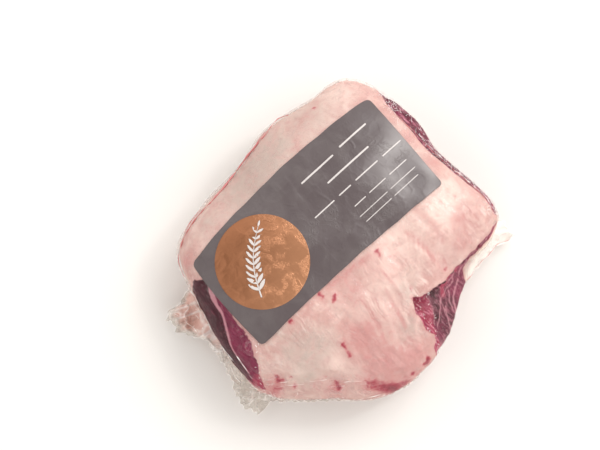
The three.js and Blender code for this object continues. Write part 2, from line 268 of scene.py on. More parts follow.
def bell(value, width):
    """A soft bump, 1 in its middle and all but gone at twice the width."""
    return np.exp(-((value / width) ** 2))


def read_off(value, table):
    """What stands beside a value in a table of pairs."""
    return np.interp(value, *zip(*table))


def fray(x):
    """A ragged edge: how far it strays at each place along it."""
    return 0.9 * np.sin(x / 1.9) * np.sin(x / 5.3 + 1) + 0.5 * np.sin(x / 0.93 + 2) * np.sin(x / 3.1)


def noise(points, size, seed):
    """Smooth noise from -1 to 1 with lumps of the given size."""
    table = np.random.default_rng(seed).uniform(-1, 1, (32, 32, 32))
    place = np.asarray(points) / size
    cell = np.floor(place).astype(int)
    share = place - cell
    share = share * share * (3 - 2 * share)
    total = 0
    for corner in np.ndindex(2, 2, 2):
        weight = np.prod(np.where(corner, share, 1 - share), axis=1)
        at = (cell + corner) % 32
        total = total + weight * table[at[:, 0], at[:, 1], at[:, 2]]
    return total


def ridges(points, size, seed):
    """Sharp-topped noise from 0 to 1, as in crumpled film."""
    return 1 - np.abs(noise(points, size, seed)) * 2


def to_stretch(x, y, start, end):
    """Distance from points to a stretch, and how far along it they lie."""
    dx, dy = end[0] - start[0], end[1] - start[1]
    along = ((x - start[0]) * dx + (y - start[1]) * dy) / (dx * dx + dy * dy)
    held = np.clip(along, 0, 1)
    return np.hypot(x - start[0] - held * dx, y - start[1] - held * dy), held


def to_line(x, y, line):
    return np.min([to_stretch(x, y, a, b)[0] for a, b in zip(line, line[1:])], axis=0)


def inside_by(x, y, corners):
    """Distance to a polygon's edge, positive inside it."""
    closed = list(corners) + [corners[0]]
    inside = np.zeros(len(x), bool)
    for (ax, ay), (bx, by) in zip(closed, closed[1:]):
        if ay != by:
            crosses = (ay > y) != (by > y)
            inside ^= crosses & (x < ax + (bx - ax) * (y - ay) / (by - ay))
    return np.where(inside, 1, -1) * to_line(x, y, closed)


def spread(x, y, spots):
    """Soft round spots added up."""
    return sum(strength * bell(np.hypot(x - cx, y - cy), radius)
               for cx, cy, radius, strength in spots)


def streaks(x, y, lines):
    """Soft strokes along lines, each with its half width and strength."""
    return sum(strength * bell(to_line(x, y, line), width) for width, strength, line in lines)


# Shape of the skin

def outline_radius(angle):
    reach = np.array(OUTLINE_REACH, float)
    count = len(reach)
    place = np.mod(angle / (2 * math.pi) * count, count)
    at = np.floor(place).astype(int) % count
    share = place - np.floor(place)
    a, b, c, d = (reach[(at + k) % count] for k in (-1, 0, 1, 2))
    curve = 2 * a - 5 * b + 4 * c - d + share * (3 * (b - c) + d - a)
    return b + 0.5 * share * (c - a + share * curve)


def lumps(x, y, z):
    return (0.6 * np.sin(x / 13 + 0.6 * np.sin(y / 17)) * np.cos(y / 15 + 1)
            + 0.5 * np.sin(x / 8.5 + y / 10 + z / 9))


def fold_depth(x, y, z):
    total = 0
    for start, end, depth, width in FOLDS:
        far, along = to_stretch(x, y, start, end)
        total = total + depth * bell(far, width) * (1 - 0.7 * along)
    return total * smoothstep(z, BELLY, BELLY + 20)


def hollow_depth(x, y, z):
    """The cut muscle at the low end lies in a little."""
    fat_edge, low_y, high_y, depth = HOLLOW
    past = smoothstep(x, fat_edge, fat_edge - 7)
    across = smoothstep(y, low_y, low_y + 14) * smoothstep(y, high_y, high_y - 14)
    return depth * past * across * smoothstep(z, 6, BELLY)


def end_bulge(x, y, z):
    """The cut muscle at the high end stands out above its middle and lies back below it."""
    out = 1.2 * smoothstep(y, 60, 44) - 4.0 * smoothstep(y, 34, 4) * smoothstep(y, -42, -12)
    return out * smoothstep(x, 76, 90) * smoothstep(z, 6, BELLY)


def web_share(x, y):
    """How far a point lies outside the muscle, on the web of film beside the cleft."""
    return read_off(x, CLEFT_OUTER) - y


def cleft_depth(x, y, z, edge):
    """How far the cleft is sunk below the skin, with the given softness of its edge."""
    lip = read_off(x, CLEFT_LIP) + fray(x) - y
    near = x - read_off(y, CLEFT_NEAR) - 0.6 * fray(y)
    inside = smoothstep(lip, 0, edge) * smoothstep(near, 0, edge)
    inside = inside * (1 - smoothstep(x, CLEFT_FAR - 26, CLEFT_FAR))
    band = smoothstep(web_share(x, y), 0, 5) * smoothstep(x, 44, 54)
    high = smoothstep(z, BELLY, BELLY + 26)
    depth = lerp(CLEFT_FLOOR, CLEFT_DEPTH, high) * (1 - 0.6 * band)
    return inside * smoothstep(z, 2, BELLY) * depth


def bare_skin(u, v):
    """The skin before any relief, for u and v from -1 to 1 over the skin laid flat."""
    flat_x = u * np.sqrt(1 - v * v / 2)
    flat_y = v * np.sqrt(1 - u * u / 2)
    out = np.minimum(1, np.hypot(flat_x, flat_y))
    angle = np.arctan2(flat_y, flat_x)
    tilt = np.radians(lerp(90.0, FOOT_ANGLE, out))
    across, up = np.cos(tilt), np.sin(tilt)
    squareness = lerp(FLANK_SQUARENESS, END_SQUARENESS, np.cos(angle) ** 2)
    push = (np.abs(across) ** squareness + np.abs(up) ** squareness) ** (-1 / squareness)
    radius = outline_radius(angle) * across * push
    rise = np.where(up > 0, PACK_HEIGHT - BELLY, BELLY + FOOT_SINK)
    return np.stack([radius * np.cos(angle), radius * np.sin(angle), BELLY + rise * up * push], 1)


def pull_creases(x, y):
    """Creases that run out from the points that the film is drawn to."""
    total = 0
    for seed, ((px, py), count, reach, height) in enumerate(PULLS):
        far = np.hypot(x - px, y - py)
        turn = np.arctan2(y - py, x - px)
        ring = np.stack([np.cos(turn) * count / 6, np.sin(turn) * count / 6, far / reach], 1)
        fade = bell(far, reach) * smoothstep(far, 0, 6)
        total = total + height * (ridges(ring, 1, 40 + seed) - 0.5) * fade
    return total


def drawn_out(angle):
    """How far the loose film is drawn out of its hiding place in a direction."""
    crinkle = 1 + 0.04 * np.sin(67 * angle) + 0.04 * np.sin(151 * angle + 1)
    reach = np.interp(np.degrees(angle), *zip(*FLAPS), period=360)
    return (reach + SKIRT_HIDDEN) * crinkle


# Meshes

def make_piece(name, points, faces, material):
    mesh = bpy.data.meshes.new(name)
    mesh.from_pydata([tuple(p) for p in np.reshape(points, (-1, 3)) * MM], [], faces)
    mesh.update()
    mesh.polygons.foreach_set("use_smooth", [True] * len(mesh.polygons))
    mesh.materials.append(material)
    piece = bpy.data.objects.new(name, mesh)
    bpy.context.scene.collection.objects.link(piece)
    return piece


def give(piece, **fields):
    """Numbers for each vertex, for the material to read."""
    for name, values in fields.items():
        attribute = piece.data.attributes.new(name, "FLOAT", "POINT")
        attribute.data.foreach_set("value", np.asarray(values, np.float32))


def give_skin(piece, **fields):
    """Numbers for each vertex of a closed skin, whose foot takes the last one."""
    give(piece, **{name: np.append(values, values[-1]) for name, values in fields.items()})


def grid_faces(rows, columns, start=0):
    return [(at, at + 1, at + columns + 1, at + columns)
            for j in range(rows - 1)
            for at in range(start + j * columns, start + j * columns + columns - 1)]


def grid_rim(rows, columns, start=0):
    """Round the edge of a grid, anticlockwise."""
    return ([start + i for i in range(columns - 1)]
            + [start + j * columns + columns - 1 for j in range(rows - 1)]
            + [start + (rows - 1) * columns + i for i in range(columns - 1, 0, -1)]
            + [start + j * columns for j in range(rows - 1, 0, -1)])


def skin_grid():
    line = np.linspace(-1, 1, SKIN_CELLS + 1)
    v, u = np.meshgrid(line, line, indexing="ij")
    return u.ravel(), v.ravel()


def closed_skin(name, points, material):
    """The skin's grid of points as a mesh, closed below by a fan on the foot."""
    side = SKIN_CELLS + 1
    rim = grid_rim(side, side)
    middle = len(points)
    foot = [0, 0, points[rim][:, 2].mean()]
    faces = grid_faces(side, side)
    faces += [(at, middle, rim[(i + 1) % len(rim)]) for i, at in enumerate(rim)]
    return make_piece(name, np.vstack([points, foot]), faces, material)


def grid_normals(grid):
    down = np.gradient(grid, axis=0)
    along = np.gradient(grid, axis=1)
    normal = np.cross(along, down)
    return normal / np.maximum(np.linalg.norm(normal, axis=2, keepdims=True), 1e-9)


def thin_solids(grids, thickness):
    """Closed thin sheets over grids of points, as one list of points and faces."""
    points, faces, start = [], [], 0
    for grid in grids:
        rows, columns, _ = grid.shape
        count = rows * columns
        half = grid_normals(grid) * thickness / 2
        points += [(grid + half).reshape(-1, 3), (grid - half).reshape(-1, 3)]
        faces += grid_faces(rows, columns, start)
        faces += [face[::-1] for face in grid_faces(rows, columns, start + count)]
        rim = grid_rim(rows, columns, start)
        faces += [(b, a, a + count, b + count) for a, b in zip(rim, rim[1:] + rim[:1])]
        start += 2 * count
    return np.vstack(points), faces


def smoothed(values, times=4):
    for _ in range(times):
        padded = np.pad(values, 1, mode="edge")
        values = (padded[:-2] + 2 * values + padded[2:]) / 4
    return values


def add_tube(points, faces, path, radii, sides=6):
    """A closed tube along a path, its ends shut by flat faces."""
    start = sum(len(p) for p in points)
    way = np.gradient(path, axis=0)
    way /= np.linalg.norm(way, axis=1)[:, None]
    across = np.cross(way, [0, 0, 1])
    across /= np.linalg.norm(across, axis=1)[:, None]
    up = np.cross(across, way)
    turns = np.arange(sides) * 2 * math.pi / sides
    ring = across[:, None] * np.cos(turns)[:, None] + up[:, None] * np.sin(turns)[:, None]
    points.append((path[:, None] + ring * radii[:, None, None]).reshape(-1, 3))
    for i in range(len(path) - 1):
        for k in range(sides):
            a, b = start + i * sides + k, start + i * sides + (k + 1) % sides
            faces.append((a, b, b + sides, a + sides))
    last = start + (len(path) - 1) * sides
    faces.append(tuple(start + k for k in reversed(range(sides))))
    faces.append(tuple(last + k for k in range(sides)))


def surface_of(piece):
    """A piece's faces in metres, for rays that hit them and for the nearest place on them."""
    mesh = piece.data
    faces = [tuple(face.vertices) for face in mesh.polygons]
    return BVHTree.FromPolygons([vertex.co for vertex in mesh.vertices], faces)


# Materials

def srgb(red, green, blue):
    """A colour as it looks on a screen, 0 to 255, made linear."""
    channels = (np.array([red, green, blue]) / 255).tolist()
    return tuple(c / 12.92 if c <= 0.04045 else ((c + 0.055) / 1.055) ** 2.4
                 for c in channels) + (1.0,)


class Tree:
    """Adds nodes to one tree. A number, a colour or another node's socket feeds any input."""

    def __init__(self, tree):
        self.tree = tree

    def add(self, kind, settings=None, **inputs):
        node = self.tree.nodes.new(kind)
        for name, value in (settings or {}).items():
            setattr(node, name, value)
        self.set(node, **inputs)
        return node

    def set(self, node, **inputs):
        """Feeds inputs by name, with _ for each space in a name."""
        for name, value in inputs.items():
            self.feed(node.inputs[name.replace("_", " ")], value)

    def feed(self, socket, value):
        if isinstance(value, bpy.types.NodeSocket):
            self.tree.links.new(value, socket)
        else:
            socket.default_value = value

    def ordered(self, node, *values):
        """Feeds a node's first inputs in their order, and gives its first output."""
        for socket, value in zip(node.inputs, values):
            self.feed(socket, value)
        return node.outputs[0]

    def math(self, operation, *values):
        return self.ordered(self.add("ShaderNodeMath", {"operation": operation}), *values)

    def mix_shaders(self, share, a, b):
        return self.ordered(self.add("ShaderNodeMixShader"), share, a, b)

    def vector(self, operation, *values):
        return self.ordered(self.add("ShaderNodeVectorMath", {"operation": operation}), *values)

    def plus(self, a, b):
        return self.math("ADD", a, b)

    def times(self, a, b, plus=None):
        """a times b, with a third value added where one is given."""
        if plus is None:
            return self.math("MULTIPLY", a, b)
        return self.math("MULTIPLY_ADD", a, b, plus)

    def step(self, value, low, high, to_low=0.0, to_high=1.0):
        node = self.add("ShaderNodeMapRange", {"interpolation_type": "SMOOTHSTEP"}, Value=value,
                        From_Min=low, From_Max=high, To_Min=to_low, To_Max=to_high)
        return node.outputs["Result"]

    def mix(self, share, a, b):
        node = self.add("ShaderNodeMix", {"data_type": "RGBA"}, Factor=share)
        self.feed(node.inputs[6], a)
        self.feed(node.inputs[7], b)
        return node.outputs[2]

    def layers(self, colour, *rows):
        """Colours laid over one another, each where its mask goes from low to high."""
        for mask, low, high, share, over in rows:
            colour = self.mix(self.step(mask, low, high, 0, share), colour, srgb(*over))
        return colour

    def attribute(self, name):
        return self.add("ShaderNodeAttribute", {"attribute_name": name}).outputs["Fac"]

    def place(self):
        """Object coordinates in millimetres."""
        spot = self.add("ShaderNodeTexCoord").outputs["Object"]
        return self.vector("MULTIPLY", spot, [1 / MM] * 3)

    def scaled(self, vector, *sizes):
        return self.vector("MULTIPLY", vector, [1 / size for size in sizes])

    def warped(self, vector, size, reach):
        """A vector moved about by slow noise, so that nothing made from it runs straight."""
        drift = self.add("ShaderNodeTexNoise", Vector=vector, Scale=1 / size, Detail=1.0)
        return self.vector("MULTIPLY_ADD", drift.outputs["Color"], [reach] * 3, vector)

    def noise(self, vector, size, detail=3.0, distortion=0.0):
        node = self.add("ShaderNodeTexNoise", Vector=vector, Scale=1 / size, Detail=detail,
                        Distortion=distortion)
        return node.outputs["Fac"]

    def crests(self, pattern, sharpness, top):
        """Narrow ridges where a pattern passes its middle value."""
        off = self.math("ABSOLUTE", self.times(pattern, sharpness, -sharpness / 2))
        return self.math("MAXIMUM", self.math("SUBTRACT", top, off), 0)

    def bump(self, height, strength, distance, normal=None):
        node = self.add("ShaderNodeBump", Strength=strength, Distance=distance * MM, Height=height)
        if normal is not None:
            self.feed(node.inputs["Normal"], normal)
        return node.outputs["Normal"]


def new_material(name):
    material = bpy.data.materials.new(name)
    material.use_nodes = True
    nodes = material.node_tree.nodes
    return material, Tree(material.node_tree), nodes["Principled BSDF"], nodes["Material Output"]


def meat_material():
    material, tree, shader, _ = new_material("meat")
    place = tree.place()
    wide = tree.noise(place, 24, 2, 0.4)
    middle = tree.noise(place, 9, 3, 0.8)
    small = tree.noise(place, 3.6, 3, 0.6)
    fine = tree.noise(place, 1.5, 3)
    drawn = tree.warped(place, 18, 9)
    strokes = tree.noise(tree.scaled(drawn, 3.0, 15, 9), 1.0, 2, 0.4)
    thin_strokes = tree.noise(tree.scaled(drawn, 1.1, 7, 4), 1.0, 2)
    patchy = tree.step(tree.noise(place, 11, 1), 0.42, 0.62)
    stroked = tree.times(tree.attribute("stroked"), patchy)
    ragged = tree.times(small, 0.6, tree.times(middle, 0.9))
    rough = tree.step(ragged, 0.45, 1.05, 0.3, 1.3)

    fat = tree.mix(tree.step(wide, 0.35, 0.65), srgb(211, 184, 175), srgb(200, 160, 153))
    fat = tree.layers(fat,
                      (middle, 0.45, 0.72, 0.5, (224, 200, 191)),
                      (middle, 0.52, 0.3, 0.35, (186, 142, 138)),
                      (small, 0.5, 0.75, 0.3, (220, 196, 188)),
                      (small, 0.48, 0.28, 0.28, (182, 138, 136)))
    for pattern, share in ((strokes, 0.5), (thin_strokes, 0.28)):
        for low, high, colour in ((0.54, 0.72, (240, 218, 210)), (0.46, 0.26, (184, 134, 132))):
            mask = tree.times(tree.step(pattern, low, high, 0, share), stroked)
            fat = tree.mix(mask, fat, srgb(*colour))
    # Greyish fat that is partly painted shade, cream fat that is partly a painted highlight, and pink
    # blush.
    for name, colour in (("grey", (174, 159, 150)), ("pale", (236, 210, 200)),
                         ("blush", (188, 128, 126))):
        mask = tree.math("MINIMUM", tree.times(tree.attribute(name), rough), 0.7)
        fat = tree.mix(mask, fat, srgb(*colour))
    rough_edge = tree.times(small, 0.9, tree.times(fine, 0.5, -0.7))
    blood = tree.plus(tree.attribute("blood"), rough_edge)
    web = tree.attribute("web")
    stretched = tree.times(small, 4, tree.plus(web, -1.4))
    fat = tree.layers(fat,
                      (blood, 0.0, 0.6, 0.55, (196, 118, 122)),
                      (blood, 0.3, 0.85, 0.85, (156, 46, 66)),
                      (blood, 0.75, 1.2, 0.6, (114, 28, 44)),
                      (web, -0.2, 0.6, 0.9, (218, 174, 164)),
                      (stretched, -0.2, 1.8, 0.95, (250, 238, 224)))

    fibre = tree.noise(tree.scaled(tree.warped(place, 12, 5), 1.1, 7, 1.6), 1.0, 3, 0.4)
    patches = tree.noise(place, 7, 3, 0.6)
    # dark: the muscle's darker parts, with a painted shadow under the cleft's lip.
    dark = tree.times(patches, 0.9, tree.plus(tree.attribute("dark"), -0.45))
    wet = tree.times(small, 1.2, tree.plus(tree.attribute("wet"), -0.6))
    # Pale pink strands over the muscle, partly frayed fibres and partly painted glints and shine of
    # the film over it.
    wisps = tree.times(tree.step(thin_strokes, 0.48, 0.68), tree.attribute("wisps"))
    silver = tree.times(fine, 0.8, tree.plus(tree.attribute("membrane"), -0.4))
    lean = tree.mix(tree.step(dark, 0.0, 0.9), srgb(128, 42, 72), srgb(58, 12, 26))
    lean = tree.layers(lean,
                       (fibre, 0.5, 0.78, 0.35, (168, 88, 108)),
                       (fibre, 0.48, 0.25, 0.4, (72, 24, 42)),
                       (wet, 0.1, 0.8, 0.85, (166, 60, 84)))
    lean = tree.mix(tree.times(wisps, 0.7), lean, srgb(214, 140, 158))
    lean = tree.layers(lean, (silver, 1.1, 0.1, 0.75, (206, 148, 158)))

    edge = tree.times(ragged, 2.4, tree.plus(tree.attribute("lean"), -1.8))
    share = tree.step(edge, -0.3, 0.3)
    rim = tree.math("ABSOLUTE", edge)
    fat = tree.layers(fat, (rim, 1.7, 0.2, 0.4, (194, 134, 134)))
    normal = tree.bump(small, 0.35, 0.9)
    normal = tree.bump(tree.times(strokes, stroked), 0.6, 1.1, normal)
    normal = tree.bump(tree.times(fibre, share), 0.6, 0.9, normal)
    tree.set(shader, Base_Color=tree.mix(share, fat, lean), Roughness=0.5, Specular_IOR_Level=0.08,
             Subsurface_Weight=0.08, Subsurface_Radius=(2.5, 1.0, 0.7), Subsurface_Scale=MM,
             Normal=normal)
    return material


def film_group():
    """A crinkle height, and a white share along the crinkles' crests that is a painted highlight, from
    how crumpled the film is.
    """
    group = bpy.data.node_groups.new("film_crinkles", "ShaderNodeTree")
    for name, way in (("Crumple", "INPUT"), ("Height", "OUTPUT"), ("Milk", "OUTPUT")):
        group.interface.new_socket(name, in_out=way, socket_type="NodeSocketFloat")
    tree = Tree(group)
    crumple = tree.add("NodeGroupInput").outputs["Crumple"]
    place = tree.place()
    slow = tree.noise(place, 13, 2, 0.8)
    sharp = tree.noise(place, 6.5, 3, 1.2)
    broken = tree.times(tree.crests(sharp, 10, 1), tree.step(slow, 0.42, 0.6))
    thread = tree.crests(tree.noise(place, 2.6, 2, 1.0), 14, 0.8)
    thread = tree.times(thread, tree.step(sharp, 0.5, 0.66))
    height = tree.times(tree.times(slow, 1.2, broken), crumple)
    # White along the crests: a painted highlight of the creased film.
    milk = tree.times(tree.times(thread, 0.6, tree.times(broken, broken)), crumple)
    tree.add("NodeGroupOutput", Height=tree.times(slow, 0.3, height), Milk=milk)
    return group


def film_material(name, crinkles, gain, tint):
    """Clear film: see-through, glossy by the angle it is seen at, and white where it is creased,
    partly cloudy film and partly a painted highlight on its crests.
    """
    material, tree, milk, output = new_material(name)
    group = tree.add("ShaderNodeGroup", {"node_tree": crinkles}, Crumple=tree.attribute("crumple"))
    normal = tree.bump(group.outputs["Height"], 0.6, 1.2)
    dimmest, brightest = min(tint), max(tint)
    tinted = brightest - dimmest
    passed = dimmest / (1 - tinted)
    # The white share: cloudy film, and painted highlights on the crests of its crinkles.
    cloud_and_glint_total = tree.times(group.outputs["Milk"], gain, tree.attribute("milk"))
    cloud_and_glint_total = tree.math("MINIMUM", cloud_and_glint_total, 0.92)
    cover = tree.times(cloud_and_glint_total, passed, 1 - passed)
    cloud_and_glint_share = tree.times(tree.math("DIVIDE", cloud_and_glint_total, cover), 1 / (1 - tinted))
    stained = tree.mix(tree.attribute("stain"), srgb(248, 245, 242), srgb(232, 188, 178))
    tree.set(milk, Base_Color=tree.mix(cloud_and_glint_share, (0, 0, 0, 1), stained), Roughness=0.4, Alpha=cover,
             Normal=normal)
    colour = [(channel - dimmest) / tinted for channel in tint] + [1]
    clear = tree.add("ShaderNodeBsdfTransparent", Color=colour)
    gloss = tree.add("ShaderNodeBsdfAnisotropic", Roughness=0.13, Normal=normal)
    slant = tree.add("ShaderNodeFresnel", IOR=1.3, Normal=normal).outputs[0]
    sheet = tree.mix_shaders(tinted, milk.outputs[0], clear.outputs[0])
    whole = tree.mix_shaders(tree.math("MINIMUM", slant, 0.02), sheet, gloss.outputs[0])
    tree.set(output, Surface=whole)
    return material


def label_material():
    material, tree, shader, _ = new_material("label_paper")
    place = tree.place()
    soft = tree.noise(place, 14, 3, 0.6)
    tooth = tree.noise(place, 0.6, 2)
    crests = tree.times(tree.crests(tree.noise(place, 6, 3, 1.6), 8, 0.5), tree.step(soft, 0.52, 0.62))
    creased = tree.times(crests, tree.attribute("crumple"))
    paper = tree.mix(tree.step(soft, 0.35, 0.7), srgb(88, 78, 79), srgb(96, 87, 87))
    # Lighter paper towards the high x end and the low side: a painted reflection of the lights.
    paper = tree.layers(paper, (tree.attribute("sheen"), 0.0, 1.0, 0.8, (172, 167, 166)))
    height = tree.plus(tree.times(soft, 1.2), tree.times(tooth, 0.05))
    height = tree.plus(height, tree.times(creased, 0.8))
    tree.set(shader, Base_Color=paper, Roughness=0.4, Specular_IOR_Level=0.4,
             Normal=tree.bump(height, 0.6, 0.8))
    return material


def foil_material():
    material, tree, shader, _ = new_material("copper_foil")
    place = tree.place()
    soft = tree.noise(place, 9, 3, 0.8)
    crests = tree.crests(tree.noise(place, 2.6, 4, 1.2), 6, 0.8)
    crests = tree.times(crests, tree.step(soft, 0.48, 0.62))
    # Copper lighter towards the side the light comes from: a painted reflection.
    across = tree.plus(tree.attribute("across"), tree.times(soft, 0.5))
    copper = tree.mix(tree.step(across, -0.5, 1.2), srgb(148, 96, 64), srgb(190, 134, 98))
    height = tree.plus(tree.times(crests, tree.attribute("crumple")), tree.times(soft, 0.8))
    tree.set(shader, Base_Color=copper, Metallic=0.6, Roughness=0.36,
             Normal=tree.bump(height, 0.6, 0.8))
    return material


def plain_material(name, colour, roughness=0.5):
    material, tree, shader, _ = new_material(name)
    tree.set(shader, Base_Color=colour, Roughness=roughness)
    return material


# The pieces

def declare(piece, slot, *nodes):
    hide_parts(*nodes)
    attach(piece, "root")


def raised_skin(base, outward, height, sunk, lowest):
    """The skin's points raised along outward, and sunk where the cleft is."""
    points = base + outward * height[:, None] + CLEFT_WAY * sunk[:, None]
    points[:, 2] = np.maximum(points[:, 2], lowest)
    return points


def lean_places(x, y, z):
    """How far inside the cleft's muscle, and inside the cut ends, each point lies."""
    cleft = inside_by(x, y, CLEFT_LIP + CLEFT_OUTER[::-1] + [(46, -105), (-2, -105)]
                      + [(a, b) for b, a in CLEFT_NEAR[:-1]])
    cleft = np.minimum(cleft, (z - 14 - 0.4 * np.maximum(0, x - 30)) * 0.5)
    low_end = np.minimum(inside_by(y, z, LOW_END), (-END_SIDE - x) * 0.5)
    high_end = np.min([x - read_off(y, HIGH_EDGE), (z - 14) * 0.5, (x - END_SIDE) * 0.5,
                       64 - y, y + 48], axis=0)
    return cleft, np.maximum(low_end, high_end)


def meat_relief(base, ends, stroked):
    """How far the meat stands out from the bare skin."""
    x, y, z = base.T
    texture = 0.5 * noise(base, 15, 1) + 0.22 * noise(base, 5.5, 2) + 0.08 * noise(base, 2.6, 3)
    along_folds = (base + 3 * noise(base, 20, 4)[:, None]) / [5, 22, 13]
    texture = texture + 0.8 * (ridges(along_folds, 1, 5) - 0.6) * stroked
    return (smoothstep(z, 4, BELLY) * (spread(x, y, SWELLINGS) + lumps(x, y, z))
            - fold_depth(x, y, z) - hollow_depth(x, y, z) + texture + pull_creases(x, y)
            - 0.8 * smoothstep(ends, -0.4, 1.8) + end_bulge(x, y, z) - SKIN_SUNK)


def meat_fields(x, y, z, cleft, ends, stroked):
    """What the meat's material reads: where it is lean, dark, wet, blushed and so on."""
    at_low_end, at_high_end = x < -END_SIDE, x > END_SIDE
    off_low_end = np.where(at_low_end, 0, 50)
    silver = to_line(y, z, SILVER_SKIN) - 0.8 * smoothstep(y, 18, 36) + off_low_end
    outer_skin = to_line(y, z, OUTER_SKIN) + 0.4 + off_low_end
    bands = [to_line(x, y, line) + 0.32 + np.where(y < -50, 0, 50) for line in CLEFT_MEMBRANES]
    below_silver = read_off(y, [(-30, 42), (-22, 48)] + SILVER_SKIN[::-1] + [(48, 62)]) - z
    low_dark = 0.25 + 0.65 * smoothstep(below_silver, -1, 2) * smoothstep(y, -26, -12)

    lip = read_off(x, CLEFT_LIP) - y
    patch = smoothstep(read_off(y, CLEFT_PATCH_EDGE) - x, -1, 1.5) * (y < -50)
    # Dark patches in the muscle, and darker just under the lip of the fat: a painted shadow of the
    # lip.
    cleft_dark = 0.25 + 0.75 * spread(x, y, CLEFT_DARKS) + 0.35 * smoothstep(lip, 4, 1)
    red_lines = np.minimum(to_line(x, y, CLEFT_RED_LINE), to_line(x, y, CRACK_RED_LINE) + 0.4)
    # Pale strands: partly fibres, partly painted glints on the wet patch and painted shine high on the
    # high end.
    wisps = [1.2 * patch * smoothstep(z, 24, 40), 0.42 * (y < -60) * smoothstep(z, 18, 30),
             0.95 * at_high_end * smoothstep(z, 36, 52)]
    web = [web_share(x, y), lip - 1, (x - 44) * 0.6, 94 - x, (z - 18) * 0.16]
    tip_x, tip_y = PULLS[0][0]

    def by_place(low_end, high_end, between):
        return np.where(at_low_end, low_end, np.where(at_high_end, high_end, between))

    return dict(
        lean=np.maximum(cleft, ends),
        membrane=np.min([silver, outer_skin] + bands, axis=0),
        dark=by_place(low_dark, 0.5, cleft_dark * (1 - 0.6 * patch)),
        wet=by_place(0.8 * smoothstep(y, -16, -27), 0.1 + 0.3 * smoothstep(y, -20, -34),
                     0.62 * patch + bell(red_lines, 1.7)),
        web=np.min(web, axis=0),
        wisps=np.max(wisps, axis=0),
        stroked=stroked + 0.3 * smoothstep(np.hypot(x - tip_x, y - tip_y), 45, 15),
        # The next two are partly painted: shade in the greyish spots, a highlight in the cream ones.
        grey=spread(x, y, GREYISH_AND_SHADED),
        pale=spread(x, y, CREAM_AND_LIT_SPOTS) + streaks(x, y, PALE_STREAKS),
        blush=spread(x, y, BLUSHES) + streaks(x, y, PINK_STREAKS),
        blood=spread(x, y, BLOOD_SPOTS + BLOOD_PATCHES) * smoothstep(z, 20, 34),
    )


def make_meat(base, outward):
    x, y, z = base.T
    cleft, ends = lean_places(x, y, z)
    stroked = 0.25 + 0.75 * smoothstep(y, -4, -22) * smoothstep(z, 30, 48)
    relief = meat_relief(base, ends, stroked)
    points = raised_skin(base, outward, relief, cleft_depth(x, y, z, 3.0), 0.3)
    piece = closed_skin("meat", points, meat_material())
    give_skin(piece, **meat_fields(x, y, z, cleft, ends, stroked))
    declare(piece, "meat", "lamb_pack")
    return relief, ends


def make_film(base, outward, relief, ends, crinkles):
    """The tight film over the meat, a little off it where it is crumpled or stretched."""
    x, y, z = base.T
    at_low_end, at_high_end = x < -END_SIDE, x > END_SIDE
    deep = cleft_depth(x, y, z, 6.5)
    in_cleft = smoothstep(deep, 0.5, 4)
    near_pulls = spread(x, y, [(px, py, reach * 0.7, 1) for (px, py), _, reach, _ in PULLS])
    low = smoothstep(z, 50, 32) * np.where(ends > -3, 0.35, 1)
    crumple = np.clip(0.18 + 0.4 * bell(ends + 1.5, 4) + 0.38 * low + 0.5 * near_pulls, 0, 1.4)
    crumple = crumple * (1 - 0.8 * in_cleft)
    ruffle = np.maximum(0, ridges(base, 5.5, 7)) + 0.5 * np.maximum(0, ridges(base, 3.4, 8))
    upper_flank = smoothstep(y, 40, 62) * smoothstep(z, FLANK_LINE + 1, FLANK_LINE - 9)
    gap = (0.25 + ruffle * 0.5 * crumple + 0.4 * smoothstep(ends, -2, 3)
           + 1.8 * upper_flank * smoothstep(z, 4, 16) * (0.7 + 0.3 * noise(base, 8, 9)))
    points = raised_skin(base, outward, relief + gap, 0.86 * deep, 0)
    piece = closed_skin("film_skin", points,
                        film_material("clear_film", crinkles, 0.42, (0.99, 0.985, 0.98)))

    web = smoothstep(web_share(x, y), -0.5, 3) * smoothstep(x, 45, 50) * smoothstep(y, -50, -54)
    milk = (0.5 * web * smoothstep(z, 12, 34)
            + 0.26 * upper_flank * smoothstep(z, 44, 26) * smoothstep(z, 6, 20)
            * smoothstep(np.abs(x), 84, 66)
            + 0.14 * smoothstep(z, 42, 32) * smoothstep(y, -40, -60) * smoothstep(x, 20, 0)
            + 0.03 * in_cleft)
    patch = (smoothstep(read_off(y, CLEFT_PATCH_EDGE) - x, -2, 1) * (y < -56)
             * smoothstep(x - read_off(y, CLEFT_NEAR), 0, 2) * smoothstep(z, 30, 42))
    # Where white flecks go, as painted glints of the crinkled film.
    bubbly = [
        bell(ends - 2, 4) * at_high_end * smoothstep(noise(base, 6, 10), -0.4, 0.2)
        * smoothstep(z, 30, 46),
        bell(ends + 0.5, 2) * at_low_end * smoothstep(y, 5, -20) * 0.4,
        0.3 * patch,
        0.25 * smoothstep(z, 44, 30) * smoothstep(y, -30, -50) * (x < 10),
        0.04 * upper_flank,
    ]
    hairy = (bell(ends - 3, 5) * at_high_end * smoothstep(z, 30, 44)
             + 0.2 * bell(ends + 1, 2) * at_low_end * smoothstep(y, 0, -16)
             + 0.3 * spread(x, y, [(74, 82, 9, 1), (-88, 50, 10, 0.6), (-93, -36, 8, 1)])
             + 0.05 * smoothstep(y, 60, 74) * smoothstep(z, 40, 30))
    give_skin(piece, crumple=crumple, milk=milk, stain=0.45 * (1 - web) * (1 - upper_flank),
              bubbly=np.max(bubbly, axis=0) * smoothstep(z, 14, 24),
              hairy=hairy * smoothstep(z, 16, 26))
    declare(piece, "clear_film", "lamb_pack")
    return piece


